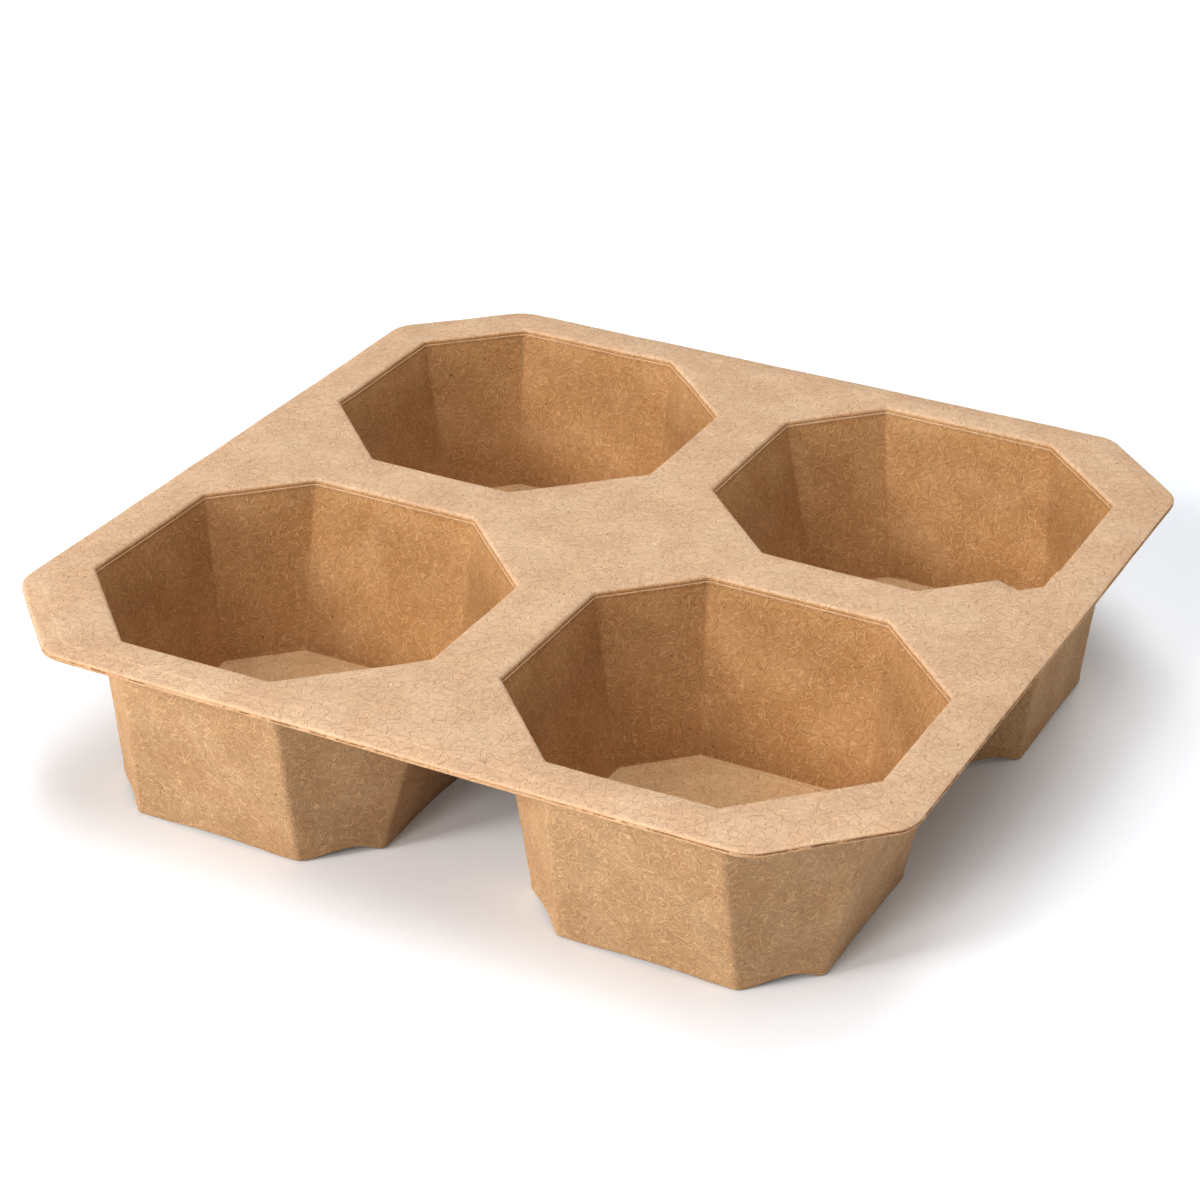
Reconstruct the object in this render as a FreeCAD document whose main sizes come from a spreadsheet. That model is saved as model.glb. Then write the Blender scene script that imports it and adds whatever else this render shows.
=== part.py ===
import FreeCAD, Part
import math
import os
import Sketcher

NODE = "carrier"

# Driving sizes of the moulded sheet, in millimetres: name, value, meaning.
SIZES = [
    ("wall", 1.4, "thickness of the sheet"),
    ("height", 49.0, "top of the deck above the feet"),
    ("tray_cut", 24.5, "corner cut of the deck, measured along a side"),
    ("tray_radius", 9.0, "rounding where a corner cut meets a side"),
    ("lip_width", 4.4, "width of the sloping strip round the deck"),
    ("lip_drop", 0.7, "fall of that strip from its crease to the edge"),
    ("mouth_width", 87.4, "inside width of a pocket at the deck"),
    ("bridge", 16.6, "deck between the mouths of two neighbouring pockets"),
    ("margin", 11.8, "deck between a pocket's mouth and the tray's edge"),
    ("mouth_cut", 24.8, "corner cuts of a pocket at the deck, apart from the back left one"),
    ("mouth_back_cut", 19.2, "back left corner cut of a pocket at the deck"),
    ("base_width", 66.8, "inside width of a pocket, carried down to the feet"),
    ("base_cut", 13.0, "corner cuts of a pocket, carried down to the feet"),
    ("floor_gap", 6.1, "underside of a pocket's floor above the feet"),
    ("inner_corner", 2.6, "radius of a pocket's upright corners, inside"),
    ("outer_corner", 2.2, "radius of a pocket's upright corners, outside"),
    ("rim_radius", 1.2, "roll of the deck into a pocket"),
    ("floor_radius", 1.4, "roll of a pocket's walls into its floor"),
    ("root_radius", 1.0, "fillet under the deck, round a pocket"),
    ("corner_arch", 1.7, "height of the arch between the feet of a corner cut"),
    ("corner_arch_width", 16.0, "width of that arch at the feet"),
    ("side_arch", 0.5, "height of the shallow arch under a straight side"),
    ("side_arch_width", 30.0, "width of that arch at the feet"),
    ("nick_start", 19.7, "start of the back right pocket's nick along its front right corner cut"),
    ("nick_slant", 2.4, "run of the nick's slanted step along the cut"),
    ("nick_reach", 6.0, "how far the nick stands out of the corner cut"),
    ("nick_depth", 16.0, "depth at which the nick runs out into the wall"),
]

# Sizes that follow from those: name, formula, meaning.
RESULTS = [
    ("pitch", "mouth_width + bridge", "pocket centre to pocket centre, both ways"),
    ("tray_width", "pitch + mouth_width + 2 * margin", "deck across its straight sides"),
]

doc = FreeCAD.newDocument("carrier")
sheet = doc.addObject("Spreadsheet::Sheet", "Sizes")
for row, (alias, value, meaning) in enumerate(SIZES + RESULTS, 1):
    sheet.set("A%d" % row, alias)
    sheet.set("B%d" % row, "=%s" % value)
    sheet.set("C%d" % row, meaning)
    sheet.setAlias("B%d" % row, alias)
doc.recompute()
S = {alias: float(sheet.get(alias)) for alias, _value, _meaning in SIZES + RESULTS}

ORIGIN = {}


def bound(text):
    """Size names in braces become references to the sheet's cells."""
    for alias in S:
        text = text.replace("{%s}" % alias, "Sizes.%s" % alias)
    return text


def new_sketch(name, plane, z="", x="", y="", turn=None):
    sketch = body.newObject("Sketcher::SketchObject", name)
    sketch.AttachmentSupport = (ORIGIN[plane], [""])
    sketch.MapMode = "FlatFace"
    if turn is not None:
        sketch.AttachmentOffset = FreeCAD.Placement(FreeCAD.Vector(), turn)
    for axis, text in (("x", x), ("y", y), ("z", z)):
        if text:
            sketch.setExpression("AttachmentOffset.Base." + axis, bound(text))
    return sketch


def drive(sketch, name, text, *where):
    """A named distance or radius that is worked out from the sheet."""
    kind, spots = where[0], where[1:]
    if kind == "Radius":
        now = sketch.Geometry[spots[0]].Radius
    else:
        gap = sketch.getPoint(*spots[2:]) - sketch.getPoint(*spots[:2])
        now = gap.x if kind == "DistanceX" else gap.y
    index = sketch.addConstraint(Sketcher.Constraint(kind, *spots, now))
    sketch.renameConstraint(index, name)
    sketch.setExpression("Constraints." + name, bound(text))


def polygon(sketch, points):
    """A closed loop of lines, joined end to end, with its rough corner points given."""
    count = len(points)
    for i in range(count):
        first, second = FreeCAD.Vector(*points[i], 0), FreeCAD.Vector(*points[(i + 1) % count], 0)
        sketch.addGeometry(Part.LineSegment(first, second), False)
    for i in range(count):
        sketch.addConstraint(Sketcher.Constraint("Coincident", i, 2, (i + 1) % count, 1))


def frustum(name, bottom, top, size_below, size_above):
    """An upright form, eight-sided in plan: each size is a half width and four corner cuts.

    The cuts run front left, front right, back right, back left. A wedge gives the straight sides and
    a second one, turned by 45 degrees, gives the corner cuts.
    """
    reaches = []
    for half, cuts in (size_below, size_above):
        corners = ["(2 * (%s) - (%s)) / sqrt(2)" % (half, cut) for cut in cuts]
        reaches.append(([half] * 4, corners))
    wedges = []
    for kind, turn in (("Sides", 0), ("Corners", 45)):
        below, above = (reach[kind == "Corners"] for reach in reaches)
        wedge = doc.addObject("Part::Wedge", name + kind)
        wedge.Placement = FreeCAD.Placement(FreeCAD.Vector(), FreeCAD.Rotation(turn, 0, 90))
        limits = {"Ymin": bottom, "Ymax": top}
        for suffix, (front_left, front_right, back_right, back_left) in (("", below), ("2", above)):
            limits["X%smin" % suffix] = "-(%s)" % front_left
            limits["X%smax" % suffix] = back_right
            limits["Z%smin" % suffix] = "-(%s)" % back_left
            limits["Z%smax" % suffix] = front_right
        for limit, text in limits.items():
            wedge.setExpression(limit, bound(text))
        wedges.append(wedge)
    return joined("Part::MultiCommon", name, wedges)


def joined(kind, name, pieces):
    result = doc.addObject(kind, name)
    if kind == "Part::Cut":
        result.Base, result.Tool = pieces
    else:
        result.Shapes = pieces
    result.Refine = True
    return result


def loft(kind, name, sections):
    feature = body.newObject("PartDesign::%sLoft" % kind, name)
    feature.Profile = sections[0]
    feature.Sections = sections[1:]
    feature.Ruled = True
    return feature


def ready(feature):
    """Work the feature out and keep it as the base of the next one."""
    body.Tip = feature
    doc.recompute()
    if not feature.isValid() or not feature.Shape.isValid():
        raise RuntimeError("%s failed: %s" % (feature.Name, feature.State))
    print("%-14s %9.1f mm3" % (feature.Name, feature.Shape.Volume))
    return feature


def named_edges(feature, wanted):
    return ["Edge%d" % number for number, edge in enumerate(feature.Shape.Edges, 1) if wanted(edge)]


def round_off(name, size, wanted):
    base = body.Tip
    names = named_edges(base, wanted)
    if not names:
        raise RuntimeError("no edges for " + name)
    feature = body.newObject("PartDesign::Fillet", name)
    feature.Base = (base, names)
    feature.setExpression("Radius", "Sizes." + size)
    return ready(feature)


def level(edge, z):
    """Whether both ends and the middle of an edge lie at one height."""
    middle = edge.valueAt((edge.FirstParameter + edge.LastParameter) / 2)
    return all(abs(p.z - z) < 1e-4 for p in [v.Point for v in edge.Vertexes] + [middle])


def round_a_pocket(edge, reach):
    """Whether an edge's ends lie within a pocket's reach, in plan."""
    half = S["pitch"] / 2
    return all(abs(abs(v.X) - half) < reach and abs(abs(v.Y) - half) < reach for v in edge.Vertexes)


def upright(edge, low):
    """Whether an edge climbs a pocket's corner from the given height."""
    zs = sorted(v.Z for v in edge.Vertexes)
    return len(zs) == 2 and abs(zs[0] - low) < 1e-3 and zs[1] > S["height"] - S["wall"] - 1e-3


# The deck: a plate with a sloping strip round it, hollowed from beneath to the sheet's thickness.
def deck_size(inset):
    return "{tray_width} / 2 - %s" % inset, ["{tray_cut} - (2 - sqrt(2)) * %s" % inset] * 4


edge, crease = deck_size("0"), deck_size("{lip_width}")
low_edge, high_edge = "{height} - {lip_drop} - {wall}", "{height} - {lip_drop}"
plate = frustum("DeckPlate", low_edge, high_edge, edge, edge)
rise = frustum("DeckRise", high_edge, "{height}", edge, crease)
under = frustum("DeckHollow", low_edge, "{height} - {wall}", edge, crease)
deck = joined("Part::Cut", "Deck", [joined("Part::MultiFuse", "DeckBlank", [plate, rise]), under])


# Four pockets: an outer form each, less a hollow above the floor and a recess below it.
def pocket_size(z, offset):
    part = "(%s) / {height}" % z
    cut = "{base_cut} + ({%s} - {base_cut}) * %s + (2 - sqrt(2)) * %s"
    cuts = [cut % (alias, part, offset) for alias in ("mouth_cut",) * 3 + ("mouth_back_cut",)]
    return "({base_width} + ({mouth_width} - {base_width}) * %s) / 2 + %s" % (part, offset), cuts


def pocket_form(name, bottom, top, offset, column, row):
    form = frustum(name, bottom, top, pocket_size(bottom, offset), pocket_size(top, offset))
    form.setExpression("Placement.Base.x", bound("%d * {pitch} / 2" % column))
    form.setExpression("Placement.Base.y", bound("%d * {pitch} / 2" % row))
    return form


forms, hollows = [deck], []
for place, column, row in (("FrontLeft", -1, -1), ("FrontRight", 1, -1), ("BackRight", 1, 1), ("BackLeft", -1, 1)):
    forms.append(pocket_form(place + "Form", "0", "{height}", "{wall}", column, row))
    hollows.append(pocket_form(place + "Hollow", "{floor_gap} + {wall}", "{height}", "0", column, row))
    hollows.append(pocket_form(place + "Recess", "0", "{floor_gap}", "0", column, row))
blank = joined("Part::MultiFuse", "Blank", forms)
tray = joined("Part::Cut", "Tray", [blank, joined("Part::MultiFuse", "Hollows", hollows)])
doc.recompute()
print("tray %.1f of %.1f mm3" % (tray.Shape.Volume, blank.Shape.Volume))

body = doc.addObject("PartDesign::Body", "Carrier")
body.BaseFeature = tray
doc.recompute()
ORIGIN.update({feature.Role: feature for feature in body.Origin.OriginFeatures})


def arches(name, plane, turn, centres, width, rise):
    """Shallow arches cut right through the skirts, seen along one direction."""
    before = body.Tip.Shape.Volume
    sketch = new_sketch(name + "Profile", plane, turn=turn)
    w, h = S[width], S[rise]
    radius = (w * w / 4 + h * h) / (2 * h)
    for i, (rough, centre) in enumerate(centres):
        circle = Part.Circle(FreeCAD.Vector(rough, h - radius, 0), FreeCAD.Vector(0, 0, 1), radius)
        spread = math.asin(w / 2 / radius)
        sketch.addGeometry(Part.ArcOfCircle(circle, math.pi / 2 - spread, math.pi / 2 + spread), False)
        sketch.addGeometry(Part.LineSegment(FreeCAD.Vector(rough - w / 2, 0, 0),
                                            FreeCAD.Vector(rough + w / 2, 0, 0)), False)
        arc, chord = 2 * i, 2 * i + 1
        sketch.addConstraint(Sketcher.Constraint("Coincident", arc, 2, chord, 1))
        sketch.addConstraint(Sketcher.Constraint("Coincident", arc, 1, chord, 2))
        sketch.addConstraint(Sketcher.Constraint("PointOnObject", chord, 1, -1))
        sketch.addConstraint(Sketcher.Constraint("PointOnObject", chord, 2, -1))
        drive(sketch, "start%d" % i, "%s - {%s} / 2" % (centre, width), "DistanceX", -1, 1, chord, 1)
        drive(sketch, "width%d" % i, "{%s}" % width, "DistanceX", chord, 1, chord, 2)
        drive(sketch, "radius%d" % i, "({%s}^2 / 4 + {%s}^2) / (2 * {%s})" % (width, rise, rise), "Radius", arc)
    feature = body.newObject("PartDesign::Pocket", name)
    feature.Profile = sketch
    feature.Midplane = True
    feature.setExpression("Length", "3 * Sizes.tray_width")
    ready(feature)
    if not feature.Shape.Volume < before:
        raise RuntimeError(name + " cuts nothing")


half_pitch, diagonal = S["pitch"] / 2, S["pitch"] / math.sqrt(2)
straight = [(-half_pitch, "-{pitch} / 2"), (half_pitch, "{pitch} / 2")]
slanted = [(-diagonal, "-{pitch} / sqrt(2)"), (0.0, "0"), (diagonal, "{pitch} / sqrt(2)")]
arches("FrontArches", "XZ_Plane", None, straight, "side_arch_width", "side_arch")
arches("SideArches", "YZ_Plane", None, straight, "side_arch_width", "side_arch")
upright_axis = FreeCAD.Vector(0, 1, 0)
arches("CornerArches", "XZ_Plane", FreeCAD.Rotation(upright_axis, 45), slanted, "corner_arch_width", "corner_arch")
arches("CrossArches", "XZ_Plane", FreeCAD.Rotation(upright_axis, -45), slanted, "corner_arch_width", "corner_arch")

# Rolls and fillets: upright corners first, then the loops that run round each pocket.
round_off("TrayCorners", "tray_radius",
          lambda e: abs(e.Length - S["wall"]) < 1e-4 and max(abs(v.X) for v in e.Vertexes) < S["tray_width"]
          and min(max(abs(v.X), abs(v.Y)) for v in e.Vertexes) > S["tray_width"] / 2 - 1e-4)
top, beneath, floor_top = S["height"], S["height"] - S["wall"], S["floor_gap"] + S["wall"]
mouth_reach = S["mouth_width"] / 2 + 0.01
round_off("InnerCorners", "inner_corner", lambda e: upright(e, floor_top))
round_off("OuterCorners", "outer_corner", lambda e: upright(e, 0.0))
round_off("Rims", "rim_radius", lambda e: level(e, top) and round_a_pocket(e, mouth_reach))
round_off("FloorRolls", "floor_radius", lambda e: level(e, floor_top) and round_a_pocket(e, mouth_reach))
round_off("Roots", "root_radius", lambda e: level(e, beneath) and round_a_pocket(e, mouth_reach + S["wall"]))


def nick_outline(name, z, points):
    """A four-cornered outline beside the corner cut: each point runs along the cut and out of it."""
    sketch = new_sketch(name, "XY_Plane", z=z, x="({pitch} + {mouth_width}) / 2 - {mouth_cut}",
                        y="({pitch} - {mouth_width}) / 2", turn=FreeCAD.Rotation(FreeCAD.Vector(0, 0, 1), 45))
    polygon(sketch, [(18, 0), (20, -5), (30, -5), (34, 0)])
    for i, (along, out) in enumerate(points):
        drive(sketch, "along%d" % i, along, "DistanceX", -1, 1, i, 1)
        drive(sketch, "out%d" % i, out, "DistanceY", i, 1, -1, 1)
    return sketch


def nick(kind, name, grow, wall_side, foot_side, foot_out):
    """A wedge that stands out of the corner cut at the deck and runs back into the wall below."""
    start = "({nick_start} - %s)" % grow
    slant = "({nick_start} + {nick_slant} - %s)" % grow
    corner = "({mouth_cut} * sqrt(2) + %s)" % grow
    reach = "({nick_reach} + %s)" % grow
    fall = "(({mouth_width} - {base_width} - {mouth_cut} + {base_cut}) / sqrt(2) * {nick_depth} / {height})"
    head = [(start, wall_side), (slant, reach), (corner + " - " + reach, reach), (corner, wall_side)]
    foot = [(along, "(%s) - %s" % (out, fall)) for (along, _out), out in
            zip(head, (foot_side, foot_out, foot_out, foot_side))]
    return ready(loft(kind, name, [nick_outline(name + "Head", "{height}", head),
                                   nick_outline(name + "Foot", "{height} - {nick_depth}", foot)]))


# The nick in the back right pocket's corner cut, with its own wall.
nick("Additive", "NickWall", "{wall}", "{wall} * 0.5", "{wall} * 0.5", "{wall} * 0.9")
nick("Subtractive", "NickHollow", "0", "-1", "-3", "-0.4")

body.Label = NODE
doc.recompute()
for item in doc.Objects:
    if "Invalid" in item.State or "Error" in item.State:
        raise RuntimeError("%s is %s" % (item.Name, item.State))
solid = body.Shape
box = solid.BoundBox
print("solids %d, valid %s, volume %.0f mm3" % (len(solid.Solids), solid.isValid(), solid.Volume))
print("box x %.2f..%.2f y %.2f..%.2f z %.2f..%.2f" % (box.XMin, box.XMax, box.YMin, box.YMax, box.ZMin, box.ZMax))
if len(solid.Solids) != 1 or not solid.isValid():
    raise RuntimeError("the tray is not one sound solid")
os.makedirs("parts", exist_ok=True)
solid.exportStep("parts/%s.step" % NODE)
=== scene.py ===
"""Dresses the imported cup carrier: one sheet of moulded kraft pulp on a pale floor.

The tray is built again as a fine mesh, ring by ring, from the sizes below and the frame's box.
"""

import math

import bmesh
import bpy
from mathutils import Matrix, Vector, geometry, noise


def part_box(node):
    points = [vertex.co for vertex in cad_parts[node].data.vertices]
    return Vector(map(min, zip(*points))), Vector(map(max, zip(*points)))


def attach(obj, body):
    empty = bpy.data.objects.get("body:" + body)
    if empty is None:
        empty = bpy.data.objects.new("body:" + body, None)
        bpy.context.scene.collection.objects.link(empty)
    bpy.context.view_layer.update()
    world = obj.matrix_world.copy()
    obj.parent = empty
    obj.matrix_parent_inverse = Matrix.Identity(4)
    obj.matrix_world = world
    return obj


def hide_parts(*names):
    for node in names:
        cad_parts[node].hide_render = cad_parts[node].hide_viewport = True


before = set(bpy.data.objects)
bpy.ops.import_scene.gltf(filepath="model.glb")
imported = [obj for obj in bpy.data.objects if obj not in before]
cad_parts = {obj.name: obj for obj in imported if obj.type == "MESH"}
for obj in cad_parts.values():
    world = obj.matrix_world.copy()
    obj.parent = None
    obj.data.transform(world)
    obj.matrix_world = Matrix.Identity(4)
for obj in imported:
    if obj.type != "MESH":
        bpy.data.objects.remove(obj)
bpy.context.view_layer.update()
LOW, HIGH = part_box("carrier")

MM = 0.001
HEIGHT = HIGH.z / MM
TRAY_WIDTH = (HIGH.x - LOW.x) / MM

# Sizes of the sheet, in millimetres.
WALL = 1.4
TRAY_CUT = 24.5
TRAY_RADIUS = 9.0
LIP_WIDTH = 4.4
LIP_DROP = 0.7
PITCH = 104.0
MOUTH_WIDTH = 87.4
MOUTH_CUT = 24.8
MOUTH_BACK_CUT = 19.2
BASE_WIDTH = 66.8
BASE_CUT = 13.0
FLOOR_TOP = 7.5
FLOOR_GAP = FLOOR_TOP - WALL
INNER_CORNER = 1.3
OUTER_CORNER = 2.2
RIM_ROLL = 0.9
FLOOR_ROLL = 0.5
ROOT_ROLL = 1.0

# The arches between the feet, (height, width): under the corner cuts and under the long sides.
CORNER_ARCH = (1.5, 17.0)
SIDE_ARCH = (0.5, 30.0)
ARCH_LEAN = 1.5  # takes a corner arch's top towards its far foot
ARCH_FADE = 9.0  # how far up the wall an arch still lifts it

# The nick at the back right pocket's near corner cut: where along the cut it starts and how soon it
# is full, how far out it reaches and how far down the wall it runs out.
NICK_START = 19.7
NICK_SLANT = 2.4
NICK_REACH = 6.0
NICK_DEPTH = 15.0

CORNER_SPREAD = 2 - math.sqrt(2)  # how a corner cut grows when its outline is moved out by one
ARC_POINTS = 5
ROLL_STEPS = 4
WALL_ROWS = 14
LONG_SIDE = [0.015] + [i / 12 for i in range(1, 12)] + [0.985]
CUT_LENGTH = MOUTH_CUT * math.sqrt(2)
CUT_TANGENT = INNER_CORNER * math.tan(math.pi / 8)
NICK_STEPS = [NICK_START, NICK_START + NICK_SLANT, CUT_LENGTH - CUT_TANGENT - NICK_REACH]
CUT_SIDE = sorted([0.02, 0.07, 0.15, 0.23, 0.31, 0.39, 0.47, 0.6, 0.68, 0.76, 0.9, 0.98]
                  + [(step - CUT_TANGENT) / (CUT_LENGTH - 2 * CUT_TANGENT) for step in NICK_STEPS])


def octagon(half, cuts, radius, long_side=LONG_SIDE, cut_side=CUT_SIDE, arc_points=ARC_POINTS):
    """Points round a square with rounded, cut corners, from its front side, counterclockwise.

    The cuts run front left, front right, back right, back left. Each point is (x, y, side, share): the
    side counts front, front right cut, right and so on, and the share is how far along it the point is,
    0 on the rounding before it.
    """
    fl, fr, br, bl = cuts
    corners = [Vector(p) for p in ((fl - half, -half), (half - fr, -half), (half, fr - half), (half, half - br),
                                   (half - br, half), (bl - half, half), (-half, half - bl), (-half, fl - half))]
    points = []
    tangent = radius * math.tan(math.pi / 8)
    for i, corner in enumerate(corners):
        before, after = corners[i - 1], corners[(i + 1) % 8]
        come, go = (corner - before).normalized(), (after - corner).normalized()
        length = (after - corner).length
        inward = Vector((-come.y, come.x))
        centre = corner - come * tangent + inward * radius
        for k in range(arc_points):
            turn = Matrix.Rotation(math.pi / 4 * k / (arc_points - 1), 2)
            spot = centre + turn @ (-inward * radius)
            points.append((spot.x, spot.y, i, 0.0))
        for share in (cut_side if i % 2 else long_side):
            share = (tangent + share * (length - 2 * tangent)) / length
            spot = corner.lerp(after, share)
            points.append((spot.x, spot.y, i, share))
    return points


class Pocket:
    """One pocket: gives a ring of points at a distance out from its inner wall, at a height.

    The lean is how far the base stands from the middle of the mouth.
    """

    def __init__(self, column, row, nicked=False, lean=(0.0, 0.0)):
        self.centre = Vector((column * PITCH / 2, row * PITCH / 2))
        self.nicked = nicked
        self.lean = Vector(lean)

    def flat(self, offset, radius, level):
        """The pocket's outline about its own middle, between the base's and the mouth's."""
        part = level / HEIGHT
        half = (BASE_WIDTH + (MOUTH_WIDTH - BASE_WIDTH) * part) / 2 + offset
        cuts = [BASE_CUT + (cut - BASE_CUT) * part + CORNER_SPREAD * offset
                for cut in (MOUTH_CUT, MOUTH_CUT, MOUTH_CUT, MOUTH_BACK_CUT)]
        return octagon(half, cuts, radius)

    def nick(self, side, share, level):
        """How far a point of the front right cut stands out, at the nick."""
        if not self.nicked or side != 1:
            return 0.0
        along = share * CUT_LENGTH
        rising, falling = (along - NICK_START) / NICK_SLANT * NICK_REACH, CUT_LENGTH - CUT_TANGENT - along
        full = min(rising, NICK_REACH, falling)
        return max(0.0, full) * max(0.0, 1 - (HEIGHT - level) / NICK_DEPTH)

    def ring(self, offset, level, radius, lift=None, shrink=1.0):
        """A ring's points. lift(side, share, x, y) raises a point above the level."""
        ring = []
        out = Vector((1, -1)).normalized()
        centre = self.centre + self.lean * (1 - level / HEIGHT)
        for x, y, side, share in self.flat(offset, radius, level):
            z = level + (lift(side, share, x + self.centre.x, y + self.centre.y) if lift else 0.0)
            spot = centre + Vector((x, y)) * shrink + out * self.nick(side, share, level)
            ring.append(Vector((spot.x, spot.y, z)))
        return ring


# The line pressed round a pocket's floor: (in from the wall, rise), in millimetres.
FLOOR_BEAD = [(0.7, -0.02), (0.85, -0.15), (1.05, -0.02), (1.3, 0.36), (1.6, 0.42), (1.9, 0.12),
              (2.4, 0.0), (3.3, 0.0)]

# The fine line just under a pocket's rim: (drop, out from the wall), in millimetres.
RIM_BEAD = [(0.12, 0.02), (0.22, 0.1), (0.34, 0.09), (0.46, -0.07), (0.66, -0.1), (0.85, -0.02)]

# A foot from the outer wall down to the ground and up into the recess, in millimetres:
# (height, out from the outer wall), then (height, in from the inner wall).
FOOT_OUTSIDE = [(4.0, 0.02), (2.4, 0.05), (1.4, 0.12), (0.8, 0.2), (0.4, 0.18), (0.12, -0.02), (0.0, -0.3)]
FOOT_INSIDE = [(0.0, 0.35), (0.12, 0.1), (0.5, 0.0), (1.6, 0.0), (FLOOR_GAP - 0.6, 0.0)]
FOOT_TOP = 6.0  # where the plain wall ends


def roll(size):
    """(out, down) pairs of a soft turn from a flat face into a wall, from the flat face's side."""
    return [(size * (1 - t) ** 2, size * t ** 2) for t in (i / ROLL_STEPS for i in range(ROLL_STEPS + 1))]


def arch(side, share, length):
    """Height of the lower edge above the feet: an arch under each side."""
    rise, width = CORNER_ARCH if side % 2 else SIDE_ARCH
    t = (share - 0.5) * length / width + 0.5
    if not 0 < t < 1 or share == 0:
        return 0.0
    return rise * math.sin(math.pi * (t ** ARCH_LEAN if side % 2 else t))


def ragged(x, y):
    """A small uneven lift of the lower edge, stronger towards the gaps between the pockets."""
    inner = max(0.0, 1 - min(abs(x), abs(y)) / 45)
    return (0.12 + 0.5 * inner) * max(0.0, noise.noise(Vector((x, y, 3.7)) * 0.16) + 0.12)


class Sheet:
    """Collects rings and patches of points into one mesh."""

    def __init__(self):
        self.bm = bmesh.new()

    def ring(self, points):
        return [self.bm.verts.new(p) for p in points]

    def bridge(self, first, second):
        n = len(first)
        for i in range(n):
            j = (i + 1) % n
            self.bm.faces.new((first[i], first[j], second[j], second[i]))

    def strip(self, rings):
        """Joins rings in order; returns the first and last."""
        made = [self.ring(r) for r in rings]
        for a, b in zip(made, made[1:]):
            self.bridge(a, b)
        return made[0], made[-1]

    def cap(self, ring, level):
        middle = sum((v.co for v in ring), Vector()) / len(ring)
        centre = self.bm.verts.new((middle.x, middle.y, level))
        for i, vert in enumerate(ring):
            self.bm.faces.new((vert, ring[(i + 1) % len(ring)], centre))

    def patch(self, outer, holes, level, spacing=3.2):
        """A flat area between an outer ring and holes, filled with even triangles."""
        loops = [outer] + holes
        verts = [v for loop in loops for v in loop]
        rim, edges, start = [v.co.to_2d() for v in verts], [], 0
        flat = list(rim)
        for loop in loops:
            edges += [(start + i, start + (i + 1) % len(loop)) for i in range(len(loop))]
            start += len(loop)
        outlines = [[v.co.to_2d() for v in loop] for loop in loops]
        count = int(TRAY_WIDTH / spacing)
        for i in range(-count, count + 1):
            for j in range(-count, count + 1):
                spot = Vector(((i + 0.5 * (j % 2)) * spacing, j * spacing * 0.866))
                if within(spot, outlines[0]) and not any(within(spot, o) for o in outlines[1:]):
                    if min((spot - p).length for p in rim) > spacing * 0.55:
                        flat.append(spot)
        places, _edges, faces, origin, *_rest = geometry.delaunay_2d_cdt(flat, edges, [], 0, 1e-6)
        made = {}
        for face in faces:
            middle = sum((places[i] for i in face), Vector((0, 0))) / 3
            if not within(middle, outlines[0]) or any(within(middle, o) for o in outlines[1:]):
                continue
            corners = []
            for i in face:
                if i not in made:
                    old = [k for k in origin[i] if k < len(verts)]
                    made[i] = verts[old[0]] if old else self.bm.verts.new((*places[i], level))
                corners.append(made[i])
            self.bm.faces.new(corners)


def within(spot, outline):
    """Whether a point lies inside a closed outline."""
    inside = False
    for a, b in zip(outline, outline[1:] + outline[:1]):
        if (a.y > spot.y) != (b.y > spot.y) and spot.x < a.x + (b.x - a.x) * (spot.y - a.y) / (b.y - a.y):
            inside = not inside
    return inside


# Two of the pockets' bases stand a little outwards of their mouths.
POCKETS = [Pocket(-1, -1, lean=(-1.5, -2.0)), Pocket(1, -1),
           Pocket(1, 1, nicked=True, lean=(5.0, -2.5)), Pocket(-1, 1)]


def levels(top, bottom):
    """Even heights down a wall."""
    return [top + (bottom - top) * i / WALL_ROWS for i in range(WALL_ROWS + 1)]


def inner_skin(sheet, pocket):
    """From the deck over the rim, down the wall and over the floor; returns the ring at the deck."""
    rings = [pocket.ring(out, HEIGHT - down, INNER_CORNER) for out, down in roll(RIM_ROLL)]
    edge = HEIGHT - RIM_ROLL
    for drop, out in RIM_BEAD:
        rings.append(pocket.ring(out, edge - drop, INNER_CORNER))
    for level in levels(edge - 1.6, FLOOR_TOP + FLOOR_ROLL + 0.6):
        rings.append(pocket.ring(0.0, level, INNER_CORNER))
    rings += [pocket.ring(-inset, FLOOR_TOP + above, INNER_CORNER) for above, inset in roll(FLOOR_ROLL)]
    for inset, rise in FLOOR_BEAD:
        rings.append(pocket.ring(-inset, FLOOR_TOP + rise, INNER_CORNER))
    for shrink in (0.94, 0.85, 0.72, 0.56, 0.38, 0.2):
        rings.append(pocket.ring(-FLOOR_BEAD[-1][0], FLOOR_TOP, INNER_CORNER, shrink=shrink))
    first, last = sheet.strip(rings)
    sheet.cap(last, FLOOR_TOP)
    return first


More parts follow.
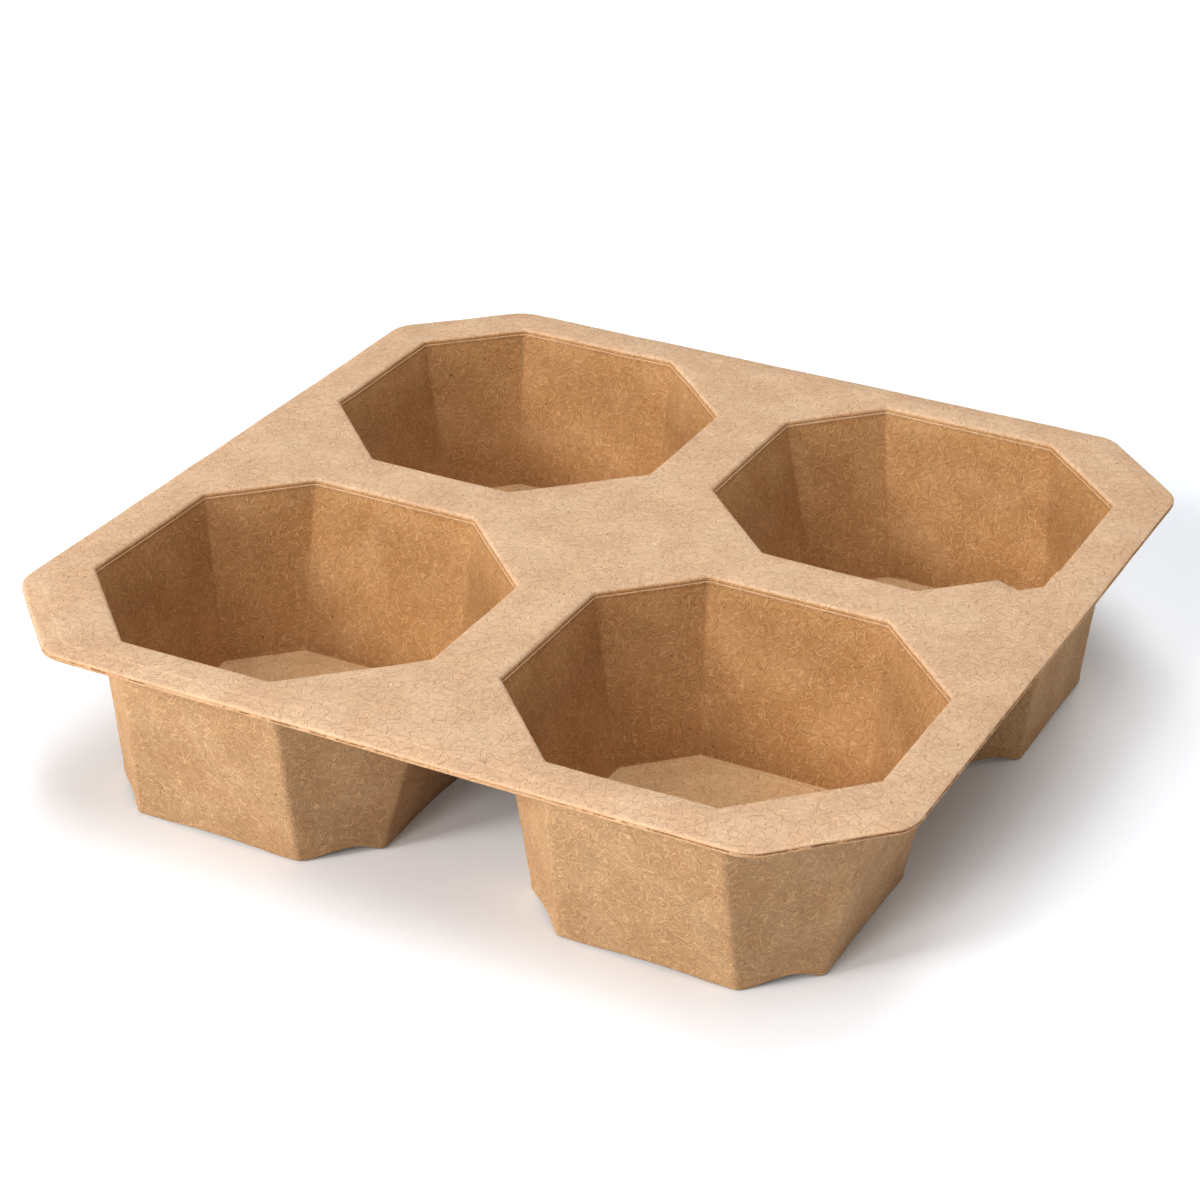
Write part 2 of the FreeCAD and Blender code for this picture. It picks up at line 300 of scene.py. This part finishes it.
def outer_skin(sheet, pocket):
    """From the deck's underside down the outer wall, round the feet and over the recess."""
    base_length = BASE_CUT * math.sqrt(2) + WALL
    straight = BASE_WIDTH + 2 * WALL - 2 * BASE_CUT

    def lifted(level):
        def lift(side, share, x, y):
            height = arch(side, share, base_length if side % 2 else straight) + ragged(x, y)
            return height * max(0.0, 1 - level / ARCH_FADE)
        return lift

    under = HEIGHT - WALL
    rings = [pocket.ring(WALL + out, under - down, OUTER_CORNER) for out, down in roll(ROOT_ROLL)]
    for level in levels(under - ROOT_ROLL - 0.8, FOOT_TOP):
        rings.append(pocket.ring(WALL, level, OUTER_CORNER, lifted(level)))
    for level, out in FOOT_OUTSIDE:
        rings.append(pocket.ring(WALL + out, level, OUTER_CORNER, lifted(level)))
    for level, inset in FOOT_INSIDE:
        def raised(side, share, x, y, level=level):
            return lifted(0.0)(side, share, x, y) * (1 - level / FLOOR_GAP)
        rings.append(pocket.ring(inset, level, INNER_CORNER, raised))
    rings.append(pocket.ring(-0.2, FLOOR_GAP - 0.15, INNER_CORNER))
    rings.append(pocket.ring(-0.7, FLOOR_GAP, INNER_CORNER))
    for shrink in (0.9, 0.75, 0.55, 0.3):
        rings.append(pocket.ring(-0.7, FLOOR_GAP, INNER_CORNER, shrink=shrink))
    first, last = sheet.strip(rings)
    sheet.cap(last, FLOOR_GAP)
    return first


def lip(sheet):
    """The sloping strip and the sheet's cut edge; returns the rings at the deck's top and underside."""
    long_side = [0.002] + [i / 80 for i in range(1, 80)] + [0.998]
    cut_side = [i / 12 for i in range(1, 12)]

    def edge_ring(inset, level, groove=0.0):
        cut = TRAY_CUT - CORNER_SPREAD * inset
        ring = []
        for x, y, _side, _share in octagon(TRAY_WIDTH / 2 - inset, [cut] * 4, max(TRAY_RADIUS - inset, 2.0),
                                           long_side, cut_side, 7):
            depth = groove * max(0.0, min(1.0, 0.55 + 2.2 * noise.noise(Vector((x, y, 0)) * 0.45)))
            pull = 1 - depth / Vector((x, y)).length
            ring.append(Vector((x * pull, y * pull, level)))
        return ring

    top = HEIGHT - LIP_DROP
    crease = LIP_WIDTH
    profile = [(crease + 0.7, HEIGHT, 0), (crease + 0.2, HEIGHT - 0.04, 0), (crease - 0.1, HEIGHT - 0.13, 0),
               (crease - 0.4, HEIGHT - 0.18, 0), (crease - 0.8, HEIGHT - 0.17, 0), (2.6, HEIGHT - 0.3, 0),
               (1.5, HEIGHT - 0.42, 0), (0.8, HEIGHT - 0.5, 0), (0.35, HEIGHT - 0.62, 0), (0.1, top - 0.08, 0),
               (0.0, top - 0.28, 0), (0.02, top - 0.42, 0.05), (0.06, top - 0.5, 0.4), (0.06, top - 0.66, 0.4),
               (0.02, top - 0.76, 0.05), (0.0, top - 0.95, 0), (0.05, top - 1.2, 0), (0.25, top - WALL + 0.03, 0),
               (0.7, top - WALL + 0.02, 0), (2.4, HEIGHT - WALL - 0.38, 0), (crease, HEIGHT - WALL - 0.06, 0),
               (crease + 0.7, HEIGHT - WALL, 0)]
    return sheet.strip([edge_ring(*entry) for entry in profile])


def settle(bm):
    """The slight unevenness of pressed pulp: the whole sheet wanders a little, both faces together."""
    for vert in bm.verts:
        place = vert.co.copy()
        broad = noise.noise_vector(place * 0.028) * 0.32
        wander = broad + noise.noise_vector(place * 0.11 + Vector((9, 4, 2))) * 0.09
        wander.z *= min(1.0, place.z / 8)  # the feet stay on the ground
        inset = min(1.0, (TRAY_WIDTH / 2 + 0.5 - max(abs(place.x), abs(place.y))) / 6)  # and the edge straight
        vert.co = (place + Vector((wander.x * inset, wander.y * inset, wander.z))) * MM


def build_tray():
    sheet = Sheet()
    top_ring, under_ring = lip(sheet)
    sheet.patch(top_ring, [inner_skin(sheet, p) for p in POCKETS], HEIGHT)
    sheet.patch(under_ring, [outer_skin(sheet, p) for p in POCKETS], HEIGHT - WALL)
    settle(sheet.bm)
    bmesh.ops.recalc_face_normals(sheet.bm, faces=sheet.bm.faces)
    mesh = bpy.data.meshes.new("pulp_tray")
    sheet.bm.to_mesh(mesh)
    sheet.bm.free()
    for polygon in mesh.polygons:
        polygon.use_smooth = True
    tray = bpy.data.objects.new("pulp_tray", mesh)
    bpy.context.scene.collection.objects.link(tray)
    return tray


class Nodes:
    """Short calls for building a material's nodes."""

    def __init__(self, name):
        self.material = bpy.data.materials.new(name)
        self.material.use_nodes = True
        self.tree = self.material.node_tree
        self.tree.nodes.clear()

    def add(self, kind, inputs=(), **settings):
        node = self.tree.nodes.new("ShaderNode" + kind)
        for key, value in settings.items():
            setattr(node, key, value)
        for key, value in dict(inputs).items():
            socket = node.inputs[key]
            if hasattr(value, "links"):
                self.tree.links.new(value, socket)
            else:
                socket.default_value = value
        return node

    def maths(self, operation, *values):
        node = self.add("Math", operation=operation)
        for i, value in enumerate(values):
            if hasattr(value, "links"):
                self.tree.links.new(value, node.inputs[i])
            else:
                node.inputs[i].default_value = value
        return node.outputs[0]

    def ramp(self, value, low, high):
        """0 below low and 1 above high, with a soft step between; low may lie above high."""
        node = self.add("MapRange", {"Value": value, "From Min": low, "From Max": high},
                        interpolation_type="SMOOTHSTEP")
        return node.outputs["Result"]

    def mix(self, share, first, second, kind="MIX"):
        node = self.add("Mix", data_type="RGBA", blend_type=kind)
        for name, value in (("Factor", share), ("A", first), ("B", second)):
            socket = [s for s in node.inputs if s.name == name and s.enabled][0]
            if hasattr(value, "links"):
                self.tree.links.new(value, socket)
            else:
                socket.default_value = value
        return [s for s in node.outputs if s.enabled][0]


def linear(red, green, blue):
    """A colour given as the eye sees it on screen, 0 to 255, as the shader's linear values."""
    values = [c / 255 for c in (red, green, blue)]
    return [c / 12.92 if c <= 0.04045 else ((c + 0.055) / 1.055) ** 2.4 for c in values] + [1.0]


# The pulp is one colour; these tans are lit and shaded copies of it: the level deck and floors lighter, the
# upright walls darker as painted shade.
DECK_TAN = (0.59, 0.437, 0.31, 1.0)
OUTER_WALL_SHADE_TAN = (0.44, 0.294, 0.171, 1.0)
FLOOR_TAN = (0.62, 0.45, 0.275, 1.0)
POCKET_SHADE_TAN = (0.475, 0.29, 0.14, 1.0)  # painted shade: the pockets' inner walls are darker and browner than the deck
FIBRE_CELL = 2.4  # mm, about one fibre to a cell in each layer
FIBRE_HALF_WIDTH = 0.15
FIBRE_LAYERS = 5
RAISED_LAYERS = 2  # of these, the ones that stand up in the relief


def unrolled(n, mm):
    """Flat coordinates on the tray: the plan on level faces, along the wall and up it on steep ones."""
    facing = n.add("NewGeometry").outputs["True Normal"]
    eighth = n.add("VectorMath", {0: facing, 1: (1.25, 1.25, 0)}, operation="MULTIPLY").outputs[0]
    eighth = n.add("VectorMath", {0: eighth, 1: (0.5, 0.5, 0)}, operation="ADD").outputs[0]
    eighth = n.add("VectorMath", {0: eighth}, operation="FLOOR").outputs[0]
    along = n.add("VectorMath", {0: eighth, 1: (0, 0, 1)}, operation="CROSS_PRODUCT").outputs[0]
    along = n.add("VectorMath", {0: along}, operation="NORMALIZE").outputs[0]
    along = n.add("VectorMath", {0: along, 1: mm}, operation="DOT_PRODUCT").outputs["Value"]
    height = n.add("SeparateXYZ", {"Vector": mm}).outputs["Z"]
    steep = n.add("CombineXYZ", {"X": along, "Y": height}).outputs[0]
    upward = n.add("SeparateXYZ", {"Vector": facing}).outputs["Z"]
    level = n.maths("GREATER_THAN", n.maths("ABSOLUTE", upward), 0.6)
    flat = n.add("Mix", data_type="VECTOR")
    for name, value in (("Factor", level), ("A", steep), ("B", mm)):
        n.tree.links.new(value, [s for s in flat.inputs if s.name == name and s.enabled][0])
    return [s for s in flat.outputs if s.enabled][0], upward, height


def fibres(n, place, shift):
    """One layer of short curved fibres, each with its own turn, curl and length."""
    moved = n.add("VectorMath", {0: place, 1: shift}, operation="ADD").outputs[0]
    cell = n.add("TexVoronoi", {"Vector": moved, "Scale": 1 / FIBRE_CELL, "Randomness": 1.0},
                 voronoi_dimensions="2D", feature="F1")
    own = n.add("VectorMath", {0: moved, 1: cell.outputs["Position"]}, operation="SUBTRACT").outputs[0]
    chance = n.add("SeparateColor", {"Color": cell.outputs["Color"]}).outputs
    turned = n.add("VectorRotate", {"Vector": own, "Angle": n.maths("MULTIPLY", chance[0], 6.283)},
                   rotation_type="Z_AXIS").outputs[0]
    turned = n.add("SeparateXYZ", {"Vector": turned}).outputs
    curl = n.maths("MULTIPLY", n.maths("SUBTRACT", chance[1], 0.5), 1.8)
    bow = n.maths("MULTIPLY", curl, n.maths("MULTIPLY", turned["X"], turned["X"]))
    aside = n.maths("ABSOLUTE", n.maths("SUBTRACT", turned["Y"], bow))
    reach = n.maths("ADD", n.maths("MULTIPLY", chance[2], 1.2), 0.8)
    beyond = n.maths("SUBTRACT", n.maths("ABSOLUTE", turned["X"]), reach)
    return n.maths("MULTIPLY", n.ramp(aside, FIBRE_HALF_WIDTH, 0.0), n.ramp(beyond, 0.0, -0.35))


def cut_edge(n, mm):
    """1 on the narrow upright edge that runs round the tray, 0 elsewhere; the square's sides, then its cuts."""
    away = n.add("VectorMath", {0: mm}, operation="ABSOLUTE").outputs[0]
    away = n.add("SeparateXYZ", {"Vector": away}).outputs
    square = n.maths("DIVIDE", n.maths("MAXIMUM", away["X"], away["Y"]), TRAY_WIDTH / 2)
    slanted = n.maths("DIVIDE", n.maths("ADD", away["X"], away["Y"]), TRAY_WIDTH - TRAY_CUT)
    return n.ramp(n.maths("MAXIMUM", square, slanted), 0.995, 0.998)


def groove_shade_line(n, mm, height, edge):
    """Painted shade: the dark line, broken here and there, in the groove where the layers of the cut edge part.
    """
    middle = HEIGHT - LIP_DROP - WALL * 0.45
    off = n.maths("ABSOLUTE", n.maths("SUBTRACT", height, middle))
    breaks = n.add("TexNoise", {"Vector": mm, "Scale": 0.22, "Detail": 2.0}).outputs["Fac"]
    line = n.maths("MULTIPLY", n.ramp(off, 0.22, 0.08), n.ramp(breaks, 0.46, 0.52))
    return n.maths("MULTIPLY", line, edge)


def kraft_material():
    """Kraft pulp: short curly fibres, most light and some dark, over a faintly blotched tan sheet."""
    n = Nodes("kraft_pulp")
    place = n.add("TexCoord").outputs["Object"]
    mm = n.add("VectorMath", {0: place, 1: (1 / MM,) * 3}, operation="MULTIPLY").outputs[0]
    flat, upward, height = unrolled(n, mm)

    wander = n.add("TexNoise", {"Vector": mm, "Scale": 0.5, "Detail": 0.0}).outputs["Color"]
    push = n.add("VectorMath", {0: wander, 1: (-0.5,) * 3}, operation="ADD").outputs[0]
    push = n.add("VectorMath", {0: push, "Scale": 2.2}, operation="SCALE").outputs[0]
    curled = n.add("VectorMath", {0: flat, 1: push}, operation="ADD").outputs[0]
    layers = [fibres(n, curled, (13.7 * i, 7.3 * i, 0)) for i in range(FIBRE_LAYERS)]
    dark, light = layers[0], layers[1]
    for layer in layers[2:RAISED_LAYERS]:
        light = n.maths("MAXIMUM", light, layer)
    raised = light
    for layer in layers[RAISED_LAYERS:]:
        light = n.maths("MAXIMUM", light, layer)

    blotch = n.add("TexNoise", {"Vector": mm, "Scale": 0.09, "Detail": 2.0}).outputs["Color"]
    coarse, middling, _rest = n.add("SeparateColor", {"Color": blotch}).outputs
    grain = n.add("TexNoise", {"Vector": mm, "Scale": 2.2, "Detail": 0.0}).outputs["Fac"]
    fleck = n.add("TexVoronoi", {"Vector": mm, "Scale": 0.15, "Randomness": 1.0}, feature="F1")
    fleck = n.ramp(fleck.outputs["Distance"], 0.05, 0.03)

    # Painted shade by facing: outer walls and the pockets' inner walls take darker tans than the level deck and
    # floors.
    tan = n.mix(n.ramp(upward, -0.1, 0.1), OUTER_WALL_SHADE_TAN, POCKET_SHADE_TAN)
    level = n.mix(n.ramp(height, 44.0, 47.0), FLOOR_TAN, DECK_TAN)
    tan = n.mix(n.ramp(upward, 0.3, 0.6), tan, level)
    edge = cut_edge(n, mm)
    # painted highlight: the narrow cut edge is lightened
    tan = n.mix(n.maths("MULTIPLY", edge, 0.2), tan, linear(238, 208, 176))
    # painted shade along the cut edge's groove
    tan = n.mix(n.maths("MULTIPLY", groove_shade_line(n, mm, height, edge), 0.7), tan, linear(112, 66, 34))
    tan = n.mix(n.maths("MULTIPLY", n.ramp(coarse, 0.35, 0.6), 0.14), tan, linear(160, 106, 62))
    tan = n.mix(n.maths("MULTIPLY", n.ramp(middling, 0.4, 0.7), 0.12), tan, linear(236, 204, 170))
    tan = n.mix(n.maths("MULTIPLY", n.ramp(grain, 0.3, 0.7), 0.08), tan, linear(160, 106, 62))
    tan = n.mix(n.maths("MULTIPLY", dark, 0.22), tan, linear(160, 100, 54))
    tan = n.mix(n.maths("MULTIPLY", light, 0.26), tan, linear(255, 220, 176))
    tan = n.mix(n.maths("MULTIPLY", fleck, 0.6), tan, linear(104, 62, 36))

    relief = n.maths("SUBTRACT", raised, n.maths("MULTIPLY", dark, 0.6))
    relief = n.maths("ADD", relief, n.maths("MULTIPLY", grain, 0.3))
    bump = n.add("Bump", {"Strength": 1.0, "Distance": 0.1 * MM, "Height": relief}).outputs["Normal"]
    shader = n.add("BsdfPrincipled", {"Base Color": tan, "Roughness": 0.86, "Normal": bump, "IOR": 1.42})
    shader.inputs["Specular IOR Level"].default_value = 0.2
    n.add("OutputMaterial", {"Surface": shader.outputs[0]})
    return n.material


FLOOR_REACH = 6.0
FLOOR_CLEARANCE = 0.0002  # keeps the floor off the feet


def floor_material():
    """A pale floor that glows white from a little way off, past the lamps' reach."""
    n = Nodes("floor_white")
    away = n.add("VectorMath", {0: n.add("TexCoord").outputs["Object"]}, operation="LENGTH").outputs["Value"]
    glow = n.maths("ADD", n.maths("MULTIPLY", n.ramp(away, 0.6, 2.4), 0.9), 0.1)
    shader = n.add("BsdfPrincipled", {"Base Color": (0.83, 0.85, 0.88, 1), "Roughness": 0.9,
                                      "Emission Color": (0.9, 0.95, 1, 1), "Emission Strength": glow})
    shader.inputs["Specular IOR Level"].default_value = 0.1
    n.add("OutputMaterial", {"Surface": shader.outputs[0]})
    n.material.cycles.emission_sampling = "NONE"
    return n.material


def make_floor():
    mesh = bpy.data.meshes.new("floor")
    corners = [(x * FLOOR_REACH, y * FLOOR_REACH, 0) for x, y in ((-1, -1), (1, -1), (1, 1), (-1, 1))]
    mesh.from_pydata(corners, [], [(0, 1, 2, 3)])
    floor = bpy.data.objects.new("floor", mesh)
    floor.location.z = -FLOOR_CLEARANCE
    mesh.materials.append(floor_material())
    bpy.context.scene.collection.objects.link(floor)


# The camera, fitted to the corners of the tray in the photograph; angles in degrees, lengths in mm.
CAMERA_TURN, CAMERA_RISE, CAMERA_ROLL = 26.9, 28.17, 0.88
CAMERA_DISTANCE = 697.0
CAMERA_SHIFT = (-3.95, -15.0)
CAMERA_LENS = 90.6
VIEW_GAMMA = 0.78  # the photograph's contrast
WORLD_LIGHT = 0.02


def make_camera():
    turn, rise, tilt = (math.radians(a) for a in (CAMERA_TURN, CAMERA_RISE, CAMERA_ROLL))
    back = Vector((math.sin(turn) * math.cos(rise), -math.cos(turn) * math.cos(rise), math.sin(rise)))
    right = Vector((math.cos(turn), math.sin(turn), 0))
    up = back.cross(right)
    right, up = right * math.cos(tilt) + up * math.sin(tilt), up * math.cos(tilt) - right * math.sin(tilt)
    spot = right * CAMERA_SHIFT[0] + up * CAMERA_SHIFT[1] + back * CAMERA_DISTANCE + Vector((0, 0, HEIGHT))
    camera = bpy.data.objects.new("camera", bpy.data.cameras.new("camera"))
    camera.data.lens, camera.data.sensor_width = CAMERA_LENS, 36.0
    camera.data.clip_start, camera.data.clip_end = 0.01, 50.0
    camera.matrix_world = Matrix.Translation(spot * MM) @ Matrix((right, up, back)).transposed().to_4x4()
    bpy.context.scene.collection.objects.link(camera)
    bpy.context.scene.camera = camera


def area_light(name, turn, rise, distance, size, power):
    """A soft lamp aimed at the tray, from a direction given in degrees: turn 0 is right, -90 front."""
    turn, rise = math.radians(turn), math.radians(rise)
    way = Vector((math.cos(turn) * math.cos(rise), math.sin(turn) * math.cos(rise), math.sin(rise)))
    data = bpy.data.lights.new(name, "AREA")
    data.shape, data.size, data.size_y, data.energy = "RECTANGLE", size[0], size[1], power
    light = bpy.data.objects.new(name, data)
    light.location = way * distance
    light.rotation_euler = way.to_track_quat("Z", "Y").to_euler()
    bpy.context.scene.collection.objects.link(light)


def make_lights():
    """Lamps fitted to the photograph's light: name, turn, rise, distance, size, power."""
    area_light("key", -125, 28, 1.8, (0.5, 0.5), 17.8)
    area_light("front", -95, 30, 1.8, (0.5, 0.5), 12.0)
    area_light("card_left", -145, 6, 2.4, (1.35, 0.42), 22.5)
    area_light("card_right", 5, 6, 1.6, (0.9, 0.28), 5.5)
    area_light("front_high", -40, 65, 1.8, (0.7, 0.7), 11.0)
    area_light("top", 0, 88, 1.8, (0.7, 0.7), 8.3)
    area_light("back", 90, 40, 1.8, (0.7, 0.7), 7.3)
    area_light("back_high", 120, 65, 1.8, (0.7, 0.7), 6.0)


def make_world():
    """Almost no light of its own, and white where the camera sees past the floor."""
    world = bpy.data.worlds.new("studio")
    world.use_nodes = True
    back, straight = world.node_tree.nodes["Background"], world.node_tree.nodes.new("ShaderNodeLightPath")
    strength = world.node_tree.nodes.new("ShaderNodeMath")
    strength.operation = "MAXIMUM"
    strength.inputs[1].default_value = WORLD_LIGHT
    world.node_tree.links.new(straight.outputs["Is Camera Ray"], strength.inputs[0])
    world.node_tree.links.new(strength.outputs[0], back.inputs["Strength"])
    back.inputs["Color"].default_value = (1, 1, 1, 1)
    scene = bpy.context.scene
    scene.world = world
    scene.view_settings.view_transform = "Standard"
    scene.view_settings.gamma = VIEW_GAMMA


tray = build_tray()
tray.data.materials.append(kraft_material())
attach(tray, "root")
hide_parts("carrier")
make_floor()
make_camera()
make_lights()
make_world()
